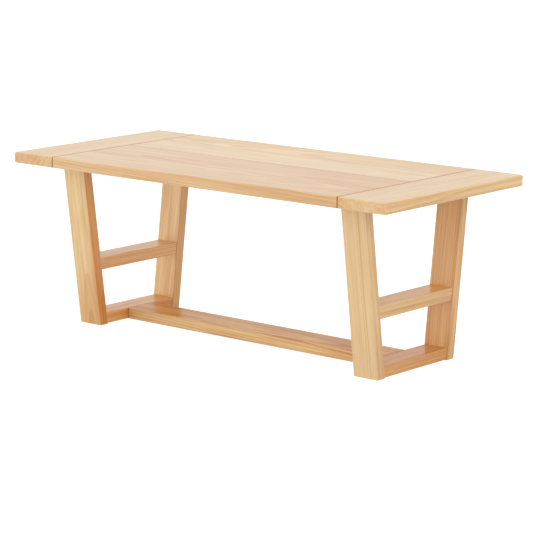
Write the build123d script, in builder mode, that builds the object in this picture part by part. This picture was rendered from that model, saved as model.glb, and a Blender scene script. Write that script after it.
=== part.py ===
"""A solid timber communion table: a breadboard-ended top on two splayed frames joined by a flat stretcher.

Millimetres, +Z up. X runs along the table, left to right, and Y runs from the front edge to the back one.
The origin is on the floor under the middle of the table.
"""
from build123d import *
from math import atan2, cos
import os

# ---- the table as a whole ----
TABLE_LENGTH = 2000
TABLE_DEPTH = 900
TABLE_HEIGHT = 750
TOP_THICK = 46
TOP_UNDERSIDE = TABLE_HEIGHT - TOP_THICK
TOP_MIDDLE = TABLE_HEIGHT - TOP_THICK / 2

# ---- the top: four long boards between two breadboard ends ----
BOARD_WIDTHS = (230, 240, 220, 210)      # front to back
BREADBOARD_WIDTH = 230
BREADBOARD_GAP = 2
BREADBOARD_FACE = TABLE_LENGTH / 2 - BREADBOARD_WIDTH
BOARD_END = BREADBOARD_FACE - BREADBOARD_GAP
TOP_ARRIS = 5
TOP_CORNER = 6
GAP_ARRIS = 2.5

# ---- the tongue, tenons and pegs that hold the breadboards ----
TONGUE_THICK = 14
TONGUE_LENGTH = 22                       # past the breadboard's face
TONGUE_SETBACK = 40                      # the tongue stops short of the table's long edges
TENON_TAB_WIDTH = 100                    # one deeper tenon on each board
TENON_TAB_LENGTH = 60
GROOVE_ROOM = 2                          # spare depth past the tongue and the tenons
GROOVE_PLAY = 4                          # room for the boards to move across the grain
CHEEK_PLAY = 0.2
PEG_RADIUS = 5
PEG_X = BREADBOARD_FACE + TENON_TAB_LENGTH / 2
PEG_LENGTH = 36
PEG_SLOT = 18
FIT_PLAY = 0.05                          # between a dowel, peg or screw and its hole
HOLE_ROOM = 1                            # spare depth past the end of a dowel, peg, screw or pin

# ---- dowels in the seams between the boards ----
EDGE_DOWEL_RADIUS = 5
EDGE_DOWEL_LENGTH = 60
EDGE_DOWEL_COUNT = 6
EDGE_DOWEL_PITCH = 256
DOWEL_CHAMFER = 1

# ---- the two end frames ----
FRAME_CENTRE = 756
LEG_WIDTH = 120
LEG_THICK = 46
FOOT_SPREAD = 498                        # over the outer faces, at the floor
HEAD_SPREAD = 680                        # over the outer faces, under the top
FRAME_ARRIS = 3
FOOT_ARRIS = 2
RAIL_WIDTH = 112
RAIL_THICK = 48                          # the foot rails and the stretcher
MID_RAIL_THICK = 52
MID_RAIL_BOTTOM = 244
FOOT_RAIL_LIFT = 4
BEARER_WIDTH = 110
BEARER_THICK = 36

# ---- twin tenons from the rails and bearers into the legs ----
RAIL_TENON_WIDTH = 26
RAIL_TENON_OFFSET = 27
RAIL_TENON_LENGTH = 28
RAIL_TENON_SHOULDER = 9
MORTISE_ROOM = 2

# ---- the stretcher and its joints to the foot rails ----
STRETCHER_WIDTH = 150
STRETCHER_END = FRAME_CENTRE - RAIL_WIDTH / 2
STRETCHER_DOWEL_RADIUS = 6
STRETCHER_DOWEL_LENGTH = 70
STRETCHER_DOWEL_Y = 58
BOLT_Y = 28
BOLT_RADIUS = 4
BOLT_HEIGHT = 25
BOLT_SLOT_REACH = 60                     # from the joint to the face that a plate bears on
BOLT_SLOT_WIDTH = 9
BOLT_SLOT_DEPTH = 26
POCKET_LENGTH = 22
POCKET_WIDTH = 30
POCKET_DEPTH = 31
PLATE_WIDTH = 26
PLATE_HEIGHT = 18
PLATE_THICK = 3
HEX_ACROSS_FLATS = 13
BOLT_HEAD_HEIGHT = 5.5
NUT_HEIGHT = 6.5
BOLT_TAIL = 2.5                          # thread showing past the nut

# ---- screws and washers that hold the top down ----
FIXING_X = 730
FIXING_Y = (-262, -100, 130, 268)        # one in each board
SCREW_RADIUS = 2.5
SCREW_LENGTH = 50
SCREW_HEAD_RADIUS = 4.75
SCREW_HEAD_HEIGHT = 3.5
SCREW_SOCKET_ACROSS = 4
SCREW_SOCKET_DEPTH = 2
SCREW_HEAD_EDGE = 1
SCREW_POINT = 2
WASHER_RADIUS = 8
WASHER_THICK = 1.5
COUNTERBORE_DEPTH = 10
COUNTERBORE_WIDTH = 18
SCREW_SLOT_WIDTH = 6
SCREW_SLOT_TRAVEL = 8
WASHER_SEAT = TOP_UNDERSIDE - BEARER_THICK + COUNTERBORE_DEPTH

# ---- glides under the feet ----
GLIDE_RADIUS = 15
GLIDE_THICK = 5
GLIDE_PROUD = 2
GLIDE_X = 36                             # each side of a leg's centre
GLIDE_PIN_RADIUS = 1.5
GLIDE_PIN_LENGTH = 6
GLIDE_EDGE = 1
GLIDE_PLAY = 0.2

TOUCH = 1                                # an edge this close to a plane is picked as lying on it
ALONG_Y = 90                             # turns a slot's length from X to Y

SIDES = {"left": -1, "right": 1}
FACES = {"front": -1, "back": 1}
LEG_SPLAY = atan2((HEAD_SPREAD - FOOT_SPREAD) / 2, TOP_UNDERSIDE)
LEG_RUN = LEG_THICK / cos(LEG_SPLAY)     # a leg's thickness measured level
RAIL_LEVELS = (                          # bottom and thickness of what is tenoned into each leg
    (FOOT_RAIL_LIFT, RAIL_THICK),
    (MID_RAIL_BOTTOM, MID_RAIL_THICK),
    (TOP_UNDERSIDE - BEARER_THICK, BEARER_THICK),
)


def leg_outer(z):
    """Distance from the table's long centre plane to a leg's outer face at height z."""
    return (FOOT_SPREAD + (HEAD_SPREAD - FOOT_SPREAD) * z / TOP_UNDERSIDE) / 2


def leg_inner(z):
    """The same to its inner face."""
    return leg_outer(z) - LEG_RUN


def slanted_block(face, low, high, start, stop):
    """Corners of a block in the YZ plane whose two ends lie parallel to a leg's inner face."""
    return [
        (face * (leg_inner(low) + start), low),
        (face * (leg_inner(low) + stop), low),
        (face * (leg_inner(high) + stop), high),
        (face * (leg_inner(high) + start), high),
    ]


def save(piece, name):
    piece.part.label = name
    export_step(piece.part, f"parts/{name}.step")


def outermost(shapes, side):
    """Of these shapes, those furthest from the middle of the table along X."""
    return shapes.group_by(Axis.X)[-1 if side > 0 else 0]


def innermost(shapes, side):
    return shapes.group_by(Axis.X)[0 if side > 0 else -1]


def board_spans():
    """Front and back edge of each top board."""
    spans = []
    edge = -TABLE_DEPTH / 2
    for width in BOARD_WIDTHS:
        spans.append((edge, edge + width))
        edge += width
    return spans


def board_centres():
    return [(low + high) / 2 for low, high in board_spans()]


def cut_bolt_recesses(side):
    """Slots for the two bolts of one stretcher joint, and the pockets for their heads and nuts."""
    reach = BOLT_SLOT_REACH + POCKET_LENGTH / 2
    for offsets, length, width, depth in (
        ((0,), 2 * BOLT_SLOT_REACH, BOLT_SLOT_WIDTH, BOLT_SLOT_DEPTH),
        ((-reach, reach), POCKET_LENGTH, POCKET_WIDTH, POCKET_DEPTH),
    ):
        places = [(side * STRETCHER_END + dx, y) for dx in offsets for y in (-BOLT_Y, BOLT_Y)]
        with BuildSketch(Plane.XY.offset(FOOT_RAIL_LIFT)) as plan:
            with Locations(*places):
                Rectangle(length, width)
        extrude(plan.sketch, amount=depth, mode=Mode.SUBTRACT)


def drill_stretcher_dowels(side, outward):
    """Dowel holes in one of the two faces that meet at a stretcher joint; outward is the face's direction."""
    middle = FOOT_RAIL_LIFT + RAIL_THICK / 2
    places = [(side * STRETCHER_END, y, middle) for y in (-STRETCHER_DOWEL_Y, STRETCHER_DOWEL_Y)]
    with Locations(*[Plane(origin=place, z_dir=(outward, 0, 0)) for place in places]):
        Hole(STRETCHER_DOWEL_RADIUS + FIT_PLAY, depth=STRETCHER_DOWEL_LENGTH / 2 + HOLE_ROOM)


def make_top_board(number, low, high):
    is_front = number == 1
    is_back = number == len(BOARD_WIDTHS)
    tongue_low = low + (TONGUE_SETBACK if is_front else 0)
    tongue_high = high - (TONGUE_SETBACK if is_back else 0)
    middle = (low + high) / 2
    seams = [edge for edge, shown in ((low, is_front), (high, is_back)) if not shown]
    with BuildPart() as board:
        with BuildSketch(Plane.XY.offset(TOP_UNDERSIDE)):
            with Locations((0, middle)):
                Rectangle(2 * BOARD_END, high - low)
        extrude(amount=TOP_THICK)
        for edge, shown in ((low, is_front), (high, is_back)):
            if shown:
                long_edges = board.edges().filter_by(Axis.X)
                outer_edges = long_edges.filter_by_position(Axis.Y, edge - TOUCH, edge + TOUCH)
                fillet(outer_edges, radius=TOP_ARRIS)
        end_edges = board.faces().filter_by(Axis.X).edges()
        off_seams = end_edges.filter_by(lambda e: min(abs(e.center().Y - y) for y in seams) > TOUCH)
        fillet(off_seams, radius=GAP_ARRIS)
        with BuildSketch(Plane.XY.offset(TOP_MIDDLE - TONGUE_THICK / 2)):
            with Locations((0, (tongue_low + tongue_high) / 2)):
                Rectangle(2 * (BREADBOARD_FACE + TONGUE_LENGTH), tongue_high - tongue_low)
            with Locations((0, middle)):
                Rectangle(2 * (BREADBOARD_FACE + TENON_TAB_LENGTH), TENON_TAB_WIDTH)
        extrude(amount=TONGUE_THICK)
        with BuildSketch(Plane.XY.offset(TOP_UNDERSIDE)):
            with Locations((-PEG_X, middle), (PEG_X, middle)):
                if is_front or is_back:
                    SlotOverall(PEG_SLOT, 2 * (PEG_RADIUS + FIT_PLAY), rotation=ALONG_Y)
                else:
                    Circle(PEG_RADIUS + FIT_PLAY)
        extrude(amount=TOP_THICK, mode=Mode.SUBTRACT)
        for edge, shown, inward in ((low, is_front, -1), (high, is_back, 1)):
            if not shown:
                with Locations(Plane(origin=(0, edge, TOP_MIDDLE), x_dir=(1, 0, 0), z_dir=(0, inward, 0))):
                    with GridLocations(EDGE_DOWEL_PITCH, 1, EDGE_DOWEL_COUNT, 1):
                        Hole(EDGE_DOWEL_RADIUS + FIT_PLAY, depth=EDGE_DOWEL_LENGTH / 2 + HOLE_ROOM)
        screw_bite = WASHER_SEAT - WASHER_THICK + SCREW_LENGTH - TOP_UNDERSIDE
        for side in SIDES.values():
            place = (side * FIXING_X, FIXING_Y[number - 1], TOP_UNDERSIDE)
            with Locations(Plane(origin=place, z_dir=(0, 0, -1))):
                Hole(SCREW_RADIUS + FIT_PLAY, depth=screw_bite + HOLE_ROOM)
    save(board, f"top_board_{number}")


def make_breadboard(name, side):
    with BuildPart() as breadboard:
        with BuildSketch(Plane.XY.offset(TOP_UNDERSIDE)):
            with Locations((side * (BREADBOARD_FACE + BREADBOARD_WIDTH / 2), 0)):
                Rectangle(BREADBOARD_WIDTH, TABLE_DEPTH)
        extrude(amount=TOP_THICK)
        fillet(outermost(breadboard.edges().filter_by(Axis.Z), side), radius=TOP_CORNER)
        for flat in breadboard.faces().filter_by(Axis.Z):
            outer_edges = flat.edges().filter_by(lambda e: abs(e.center().X) > BREADBOARD_FACE + TOUCH)
            fillet(outer_edges, radius=TOP_ARRIS)
        fillet(innermost(breadboard.faces().filter_by(Axis.X), side).edges(), radius=GAP_ARRIS)
        groove_reach = TONGUE_LENGTH + GROOVE_ROOM
        mortise_reach = TENON_TAB_LENGTH + GROOVE_ROOM
        with BuildSketch(Plane.XY.offset(TOP_MIDDLE - TONGUE_THICK / 2 - CHEEK_PLAY)):
            with Locations((side * (BREADBOARD_FACE + groove_reach / 2), 0)):
                Rectangle(groove_reach, TABLE_DEPTH - 2 * (TONGUE_SETBACK - GROOVE_PLAY))
            with Locations(*[(side * (BREADBOARD_FACE + mortise_reach / 2), y) for y in board_centres()]):
                Rectangle(mortise_reach, TENON_TAB_WIDTH + 2 * GROOVE_PLAY)
        extrude(amount=TONGUE_THICK + 2 * CHEEK_PLAY, mode=Mode.SUBTRACT)
        with Locations(Plane(origin=(side * PEG_X, 0, TOP_UNDERSIDE), x_dir=(1, 0, 0), z_dir=(0, 0, -1))):
            with Locations(*[(0, -y) for y in board_centres()]):
                Hole(PEG_RADIUS + FIT_PLAY, depth=PEG_LENGTH + HOLE_ROOM)
    save(breadboard, name)


def make_board_edge_dowels():
    seams = [high for _, high in board_spans()[:-1]]
    with BuildPart() as dowels:
        for y in seams:
            with BuildSketch(Plane(origin=(0, y, TOP_MIDDLE), x_dir=(1, 0, 0), z_dir=(0, -1, 0))):
                with GridLocations(EDGE_DOWEL_PITCH, 1, EDGE_DOWEL_COUNT, 1):
                    Circle(EDGE_DOWEL_RADIUS)
            extrude(amount=EDGE_DOWEL_LENGTH / 2, both=True)
        chamfer(dowels.edges().filter_by(GeomType.CIRCLE), length=DOWEL_CHAMFER)
    save(dowels, "board_edge_dowels")


def make_breadboard_pegs():
    with BuildPart() as pegs:
        with BuildSketch(Plane.XY.offset(TOP_UNDERSIDE)):
            with Locations(*[(side * PEG_X, y) for side in SIDES.values() for y in board_centres()]):
                Circle(PEG_RADIUS)
        extrude(amount=PEG_LENGTH)
        chamfer(pegs.edges().filter_by(GeomType.CIRCLE).group_by(Axis.Z)[-1], length=DOWEL_CHAMFER)
    save(pegs, "breadboard_pegs")


def rail_tenon_profile(face, bottom, thick, length):
    """Side view of a tenon, or of the mortise that takes it, from just inside a leg's inner face."""
    low = bottom + RAIL_TENON_SHOULDER
    high = bottom + thick - RAIL_TENON_SHOULDER
    return slanted_block(face, low, high, 0, length)


def cut_mortises(side, face, bottom, thick):
    for offset in (-RAIL_TENON_OFFSET, RAIL_TENON_OFFSET):
        with BuildSketch(Plane.YZ.offset(side * FRAME_CENTRE + offset)) as mortise:
            Polygon(*rail_tenon_profile(face, bottom, thick, RAIL_TENON_LENGTH + MORTISE_ROOM), align=None)
        extrude(mortise.sketch, amount=RAIL_TENON_WIDTH / 2, both=True, mode=Mode.SUBTRACT)


def make_leg(name, side, face):
    foot_middle = face * (leg_inner(GLIDE_PROUD) + leg_outer(GLIDE_PROUD)) / 2
    with BuildPart() as leg:
        with BuildSketch(Plane.YZ.offset(side * FRAME_CENTRE)):
            Polygon(*slanted_block(face, GLIDE_PROUD, TOP_UNDERSIDE, 0, LEG_RUN), align=None)
        extrude(amount=LEG_WIDTH / 2, both=True)
        long_edges = leg.edges().filter_by(lambda e: e.length > TOP_UNDERSIDE / 2)
        fillet(long_edges, radius=FRAME_ARRIS)
        fillet(leg.faces().sort_by(Axis.Z)[0].edges(), radius=FOOT_ARRIS)
        for bottom, thick in RAIL_LEVELS:
            cut_mortises(side, face, bottom, thick)
        for dx in (-GLIDE_X, GLIDE_X):
            place = (side * FRAME_CENTRE + dx, foot_middle, GLIDE_PROUD)
            with Locations(Plane(origin=place, z_dir=(0, 0, -1))):
                CounterBoreHole(
                    radius=GLIDE_PIN_RADIUS + FIT_PLAY,
                    counter_bore_radius=GLIDE_RADIUS + GLIDE_PLAY,
                    counter_bore_depth=GLIDE_THICK - GLIDE_PROUD,
                    depth=GLIDE_THICK - GLIDE_PROUD + GLIDE_PIN_LENGTH + HOLE_ROOM,
                )
    save(leg, name)


def add_rail(side, bottom, thick, width):
    """A flat member between the two legs of a frame, with its eased long edges and its twin tenons."""
    with BuildSketch(Plane.YZ.offset(side * FRAME_CENTRE)) as profile:
        ends = [(-leg_inner(bottom), bottom), (leg_inner(bottom), bottom)]
        top = bottom + thick
        Polygon(*ends, (leg_inner(top), top), (-leg_inner(top), top), align=None)
    rail = extrude(profile.sketch, amount=width / 2, both=True)
    fillet(rail.edges().filter_by(Axis.Y), radius=FRAME_ARRIS)
    for offset in (-RAIL_TENON_OFFSET, RAIL_TENON_OFFSET):
        for face in FACES.values():
            with BuildSketch(Plane.YZ.offset(side * FRAME_CENTRE + offset)) as tenon:
                Polygon(*rail_tenon_profile(face, bottom, thick, RAIL_TENON_LENGTH), align=None)
            extrude(tenon.sketch, amount=RAIL_TENON_WIDTH / 2, both=True)


def make_mid_rail(name, side):
    with BuildPart() as rail:
        add_rail(side, MID_RAIL_BOTTOM, MID_RAIL_THICK, RAIL_WIDTH)
    save(rail, name)


def make_foot_rail(name, side):
    with BuildPart() as rail:
        add_rail(side, FOOT_RAIL_LIFT, RAIL_THICK, RAIL_WIDTH)
        cut_bolt_recesses(side)
        drill_stretcher_dowels(side, -side)
    save(rail, name)


def make_bearer(name, side):
    bottom = TOP_UNDERSIDE - BEARER_THICK
    with BuildPart() as bearer:
        add_rail(side, bottom, BEARER_THICK, BEARER_WIDTH)
        places = [(side * FIXING_X, y) for y in FIXING_Y]
        for width, depth in ((SCREW_SLOT_WIDTH, BEARER_THICK), (COUNTERBORE_WIDTH, COUNTERBORE_DEPTH)):
            with BuildSketch(Plane.XY.offset(bottom)):
                with Locations(*places):
                    SlotOverall(width + SCREW_SLOT_TRAVEL, width, rotation=ALONG_Y)
            extrude(amount=depth, mode=Mode.SUBTRACT)
    save(bearer, name)


def make_stretcher():
    with BuildPart() as stretcher:
        with BuildSketch(Plane.XY.offset(FOOT_RAIL_LIFT)):
            Rectangle(2 * STRETCHER_END, STRETCHER_WIDTH)
        extrude(amount=RAIL_THICK)
        fillet(stretcher.edges().filter_by(Axis.X), radius=FRAME_ARRIS)
        for side in SIDES.values():
            cut_bolt_recesses(side)
            drill_stretcher_dowels(side, side)
    save(stretcher, "stretcher")


def make_stretcher_dowels():
    middle = FOOT_RAIL_LIFT + RAIL_THICK / 2
    with BuildPart() as dowels:
        for side in SIDES.values():
            with BuildSketch(Plane.YZ.offset(side * STRETCHER_END)):
                with Locations((-STRETCHER_DOWEL_Y, middle), (STRETCHER_DOWEL_Y, middle)):
                    Circle(STRETCHER_DOWEL_RADIUS)
            extrude(amount=STRETCHER_DOWEL_LENGTH / 2, both=True)
        chamfer(dowels.edges().filter_by(GeomType.CIRCLE), length=DOWEL_CHAMFER)
    save(dowels, "stretcher_dowels")


def bolt_circle(x, radius):
    """The two bolts' section at this distance along the table."""
    with BuildSketch(Plane.YZ.offset(x)) as section:
        with Locations((-BOLT_Y, BOLT_HEIGHT), (BOLT_Y, BOLT_HEIGHT)):
            Circle(radius)
    return section.sketch


def bolt_hexagon(x):
    """The two bolts' head or nut outline at this distance along the table."""
    with BuildSketch(Plane.YZ.offset(x)) as section:
        with Locations((-BOLT_Y, BOLT_HEIGHT), (BOLT_Y, BOLT_HEIGHT)):
            RegularPolygon(HEX_ACROSS_FLATS / 2, side_count=6, major_radius=False)
    return section.sketch


def make_stretcher_bolts():
    with BuildPart() as bolts:
        for side in SIDES.values():
            head = side * (STRETCHER_END + BOLT_SLOT_REACH + PLATE_THICK)
            tail = side * (STRETCHER_END - BOLT_SLOT_REACH - PLATE_THICK - NUT_HEIGHT - BOLT_TAIL)
            extrude(bolt_circle(tail, BOLT_RADIUS), amount=head - tail)
            extrude(bolt_hexagon(head), amount=side * BOLT_HEAD_HEIGHT)
    save(bolts, "stretcher_bolts")


def make_stretcher_bolt_nuts():
    with BuildPart() as nuts:
        for side in SIDES.values():
            start = side * (STRETCHER_END - BOLT_SLOT_REACH - PLATE_THICK)
            extrude(bolt_hexagon(start), amount=-side * NUT_HEIGHT)
            extrude(bolt_circle(start, BOLT_RADIUS + FIT_PLAY), amount=-side * NUT_HEIGHT, mode=Mode.SUBTRACT)
    save(nuts, "stretcher_bolt_nuts")


def make_stretcher_bolt_plates():
    slot_drop = PLATE_HEIGHT / 2
    with BuildPart() as plates:
        for side in SIDES.values():
            for away in (-1, 1):
                with BuildSketch(Plane.YZ.offset(side * (STRETCHER_END + away * BOLT_SLOT_REACH))) as plate:
                    with Locations((-BOLT_Y, BOLT_HEIGHT), (BOLT_Y, BOLT_HEIGHT)):
                        RectangleRounded(PLATE_WIDTH, PLATE_HEIGHT, FRAME_ARRIS)
                        Circle(BOLT_RADIUS + CHEEK_PLAY, mode=Mode.SUBTRACT)
                    with Locations(*[(y, BOLT_HEIGHT - slot_drop / 2) for y in (-BOLT_Y, BOLT_Y)]):
                        Rectangle(2 * (BOLT_RADIUS + CHEEK_PLAY), slot_drop, mode=Mode.SUBTRACT)
                extrude(plate.sketch, amount=side * away * PLATE_THICK)
    save(plates, "stretcher_bolt_plates")


def fixing_plane(height):
    return Plane(origin=(0, 0, height), x_dir=(1, 0, 0), z_dir=(0, 0, -1))


def fixing_places():
    """Where the screws stand, in a plane that faces down."""
    return [(side * FIXING_X, -y) for side in SIDES.values() for y in FIXING_Y]


def make_top_fixing_screws():
    under_head = WASHER_SEAT - WASHER_THICK
    with BuildPart() as screws:
        with BuildSketch(fixing_plane(under_head)):
            with Locations(*fixing_places()):
                Circle(SCREW_RADIUS)
        extrude(amount=-SCREW_LENGTH)
        chamfer(screws.edges().filter_by(GeomType.CIRCLE).group_by(Axis.Z)[-1], length=SCREW_POINT)
        with BuildSketch(fixing_plane(under_head)):
            with Locations(*fixing_places()):
                Circle(SCREW_HEAD_RADIUS)
        extrude(amount=SCREW_HEAD_HEIGHT)
        fillet(screws.edges().filter_by(GeomType.CIRCLE).group_by(Axis.Z)[0], radius=SCREW_HEAD_EDGE)
        with BuildSketch(fixing_plane(under_head - SCREW_HEAD_HEIGHT)):
            with Locations(*fixing_places()):
                RegularPolygon(SCREW_SOCKET_ACROSS / 2, side_count=6, major_radius=False)
        extrude(amount=-SCREW_SOCKET_DEPTH, mode=Mode.SUBTRACT)
    save(screws, "top_fixing_screws")


def make_top_fixing_washers():
    with BuildPart() as washers:
        with BuildSketch(fixing_plane(WASHER_SEAT)):
            with Locations(*fixing_places()):
                Circle(WASHER_RADIUS)
                Circle(SCREW_RADIUS + CHEEK_PLAY, mode=Mode.SUBTRACT)
        extrude(amount=WASHER_THICK)
    save(washers, "top_fixing_washers")


def make_foot_glides():
    foot_middle = (leg_inner(GLIDE_PROUD) + leg_outer(GLIDE_PROUD)) / 2
    columns = [side * FRAME_CENTRE + dx for side in SIDES.values() for dx in (-GLIDE_X, GLIDE_X)]
    places = [(x, face * foot_middle) for x in columns for face in FACES.values()]
    with BuildPart() as glides:
        with BuildSketch(Plane.XY):
            with Locations(*places):
                Circle(GLIDE_RADIUS)
        extrude(amount=GLIDE_THICK)
        fillet(glides.edges().group_by(Axis.Z)[0], radius=GLIDE_EDGE)
        with BuildSketch(Plane.XY.offset(GLIDE_THICK)):
            with Locations(*places):
                Circle(GLIDE_PIN_RADIUS)
        extrude(amount=GLIDE_PIN_LENGTH)
    save(glides, "foot_glides")


os.makedirs("parts", exist_ok=True)
for number, (low, high) in enumerate(board_spans(), start=1):
    make_top_board(number, low, high)
for side_name, side in SIDES.items():
    make_breadboard(f"breadboard_{side_name}", side)
    for face_name, face in FACES.items():
        make_leg(f"leg_{side_name}_{face_name}", side, face)
    make_mid_rail(f"mid_rail_{side_name}", side)
    make_foot_rail(f"foot_rail_{side_name}", side)
    make_bearer(f"bearer_{side_name}", side)
make_board_edge_dowels()
make_breadboard_pegs()
make_stretcher()
make_stretcher_dowels()
make_stretcher_bolts()
make_stretcher_bolt_nuts()
make_stretcher_bolt_plates()
make_top_fixing_screws()
make_top_fixing_washers()
make_foot_glides()
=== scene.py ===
"""A solid timber communion table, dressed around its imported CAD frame.

Every timber keeps its CAD shape and gets a finish worked out in its own directions: along the
grain, across it and through it, with the heart of the log somewhere outside or inside the plank.
Faces, edges and ends of one plank therefore show one and the same piece of wood. The steel
fittings and the glides are turned and cut again in mesh code, with threads, chamfers and sockets.
"""

from collections import namedtuple
from math import cos, pi, radians, sin

import bmesh
import bpy
from bpy.props import FloatProperty, FloatVectorProperty, PointerProperty
from mathutils import Matrix, Vector


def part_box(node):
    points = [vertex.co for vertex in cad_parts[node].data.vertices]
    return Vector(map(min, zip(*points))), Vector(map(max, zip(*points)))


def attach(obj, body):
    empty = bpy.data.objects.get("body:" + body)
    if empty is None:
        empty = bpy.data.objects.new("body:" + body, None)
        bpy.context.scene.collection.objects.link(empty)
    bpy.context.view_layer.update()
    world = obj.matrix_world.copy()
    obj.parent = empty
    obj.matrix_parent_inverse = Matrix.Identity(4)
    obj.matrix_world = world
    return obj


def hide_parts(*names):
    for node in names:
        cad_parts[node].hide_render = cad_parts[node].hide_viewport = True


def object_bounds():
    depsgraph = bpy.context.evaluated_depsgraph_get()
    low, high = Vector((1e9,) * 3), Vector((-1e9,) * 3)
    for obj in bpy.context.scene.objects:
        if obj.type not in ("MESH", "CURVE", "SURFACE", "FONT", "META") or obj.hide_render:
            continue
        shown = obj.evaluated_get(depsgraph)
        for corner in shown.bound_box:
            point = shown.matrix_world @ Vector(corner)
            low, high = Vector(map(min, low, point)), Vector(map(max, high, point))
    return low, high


bl_info = {
    "name": "Communion table",
    "version": (1, 0, 0),
    "blender": (4, 5, 0),
    "location": "View3D > Sidebar > Communion table",
    "description": "Timber, steel and studio for a trestle communion table with breadboard ends",
    "category": "Object",
}

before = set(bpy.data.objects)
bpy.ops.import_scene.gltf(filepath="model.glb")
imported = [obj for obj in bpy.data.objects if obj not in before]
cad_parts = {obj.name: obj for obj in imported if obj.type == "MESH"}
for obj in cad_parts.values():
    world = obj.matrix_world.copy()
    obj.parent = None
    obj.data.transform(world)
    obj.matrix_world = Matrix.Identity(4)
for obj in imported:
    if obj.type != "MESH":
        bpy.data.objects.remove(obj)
CAD_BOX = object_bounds()
MILLIMETRE = 0.001


def linear(red, green, blue):
    """A colour as seen on a swatch, 0 to 255, in the linear values that shaders use."""
    shares = [channel / 255 for channel in (red, green, blue)]
    return tuple(s / 12.92 if s <= 0.04045 else ((s + 0.055) / 1.055) ** 2.4 for s in shares)


# ---------------------------------------------------------------- settings


class TimberSettings(bpy.types.PropertyGroup):
    pale: FloatVectorProperty(
        name="Pale wood", description="Colour of the lightest early wood",
        subtype="COLOR", size=3, min=0, max=1, default=linear(236, 200, 150),
    )
    honey: FloatVectorProperty(
        name="Honey wood", description="Main colour of the timber",
        subtype="COLOR", size=3, min=0, max=1, default=linear(222, 178, 124),
    )
    late: FloatVectorProperty(
        name="Late wood", description="Colour of the darker line that closes each growth ring",
        subtype="COLOR", size=3, min=0, max=1, default=linear(198, 140, 76),
    )
    # Painted shadow of the open joint beside each breadboard end, darker than the gap itself shows.
    joint: FloatVectorProperty(
        name="Joint shade", description="Colour down in the open joint beside each breadboard end",
        subtype="COLOR", size=3, min=0, max=1, default=linear(194, 120, 34),
    )
    ring: FloatProperty(
        name="Ring width", description="Mean width of one growth ring",
        subtype="DISTANCE", unit="LENGTH", min=0.001, max=0.03, default=0.0095,
    )
    figure: FloatProperty(
        name="Figure", description="How strongly the growth rings show",
        subtype="FACTOR", min=0, max=1, default=0.42,
    )
    streaks: FloatProperty(
        name="Streaks", description="How strongly the tone wanders in long streaks along the grain",
        subtype="FACTOR", min=0, max=1, default=0.5,
    )
    roughness: FloatProperty(
        name="Roughness", description="Roughness of the oiled surface",
        subtype="FACTOR", min=0, max=1, default=0.3,
    )
    relief: FloatProperty(
        name="Relief", description="Depth of the pores and fibres",
        subtype="DISTANCE", unit="LENGTH", min=0, max=0.001, default=0.00005,
    )


class FittingSettings(bpy.types.PropertyGroup):
    zinc: FloatVectorProperty(
        name="Zinc", description="Colour of the zinc-plated bolts, nuts, plates, screws and washers",
        subtype="COLOR", size=3, min=0, max=1, default=linear(196, 199, 204),
    )
    nylon: FloatVectorProperty(
        name="Nylon", description="Colour of the glides under the feet",
        subtype="COLOR", size=3, min=0, max=1, default=linear(107, 84, 64),
    )
    zinc_roughness: FloatProperty(
        name="Zinc roughness", description="Roughness of the plated steel",
        subtype="FACTOR", min=0, max=1, default=0.34,
    )
    thread_pitch: FloatProperty(
        name="Bolt thread pitch", description="Distance from one turn of a bolt's thread to the next",
        subtype="DISTANCE", unit="LENGTH", min=0.0005, max=0.003, default=0.00125,
    )
    screw_pitch: FloatProperty(
        name="Screw thread pitch", description="Distance from one turn of a wood screw's thread to the next",
        subtype="DISTANCE", unit="LENGTH", min=0.001, max=0.005, default=0.0022,
    )


class StudioSettings(bpy.types.PropertyGroup):
    floor: FloatVectorProperty(
        name="Floor", description="Colour of the studio floor",
        subtype="COLOR", size=3, min=0, max=1, default=(0.3, 0.3, 0.3),
    )
    glow: FloatProperty(
        name="Floor glow", description="How brightly the floor shines, which keeps its shadows pale",
        min=0, max=2, default=0.96,
    )
    sky: FloatProperty(
        name="Sky", description="Strength of the even white light from all round",
        min=0, max=5, default=1.0,
    )
    front_light: FloatProperty(
        name="Front light", description="Strength of the large soft light low in front and to the left",
        min=0, max=20, default=2.4,
    )
    right_light: FloatProperty(
        name="Right light", description="Strength of the soft light above and to the right",
        min=0, max=20, default=2.4,
    )
    azimuth: FloatProperty(
        name="Camera azimuth", description="Where the camera stands, turned from the table's front",
        subtype="ANGLE", unit="ROTATION", default=radians(40.64),
    )
    elevation: FloatProperty(
        name="Camera elevation", description="How far the camera looks down",
        subtype="ANGLE", unit="ROTATION", default=radians(11.23),
    )
    distance: FloatProperty(
        name="Camera distance", description="From the camera to the point that it looks at",
        subtype="DISTANCE", unit="LENGTH", min=1, max=50, default=9.808,
    )
    lens: FloatProperty(
        name="Camera lens", description="Focal length on a sensor 36 mm wide",
        subtype="DISTANCE_CAMERA", unit="CAMERA", min=10, max=400, default=159.13,
    )


# ---------------------------------------------------------------- shader sums


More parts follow.
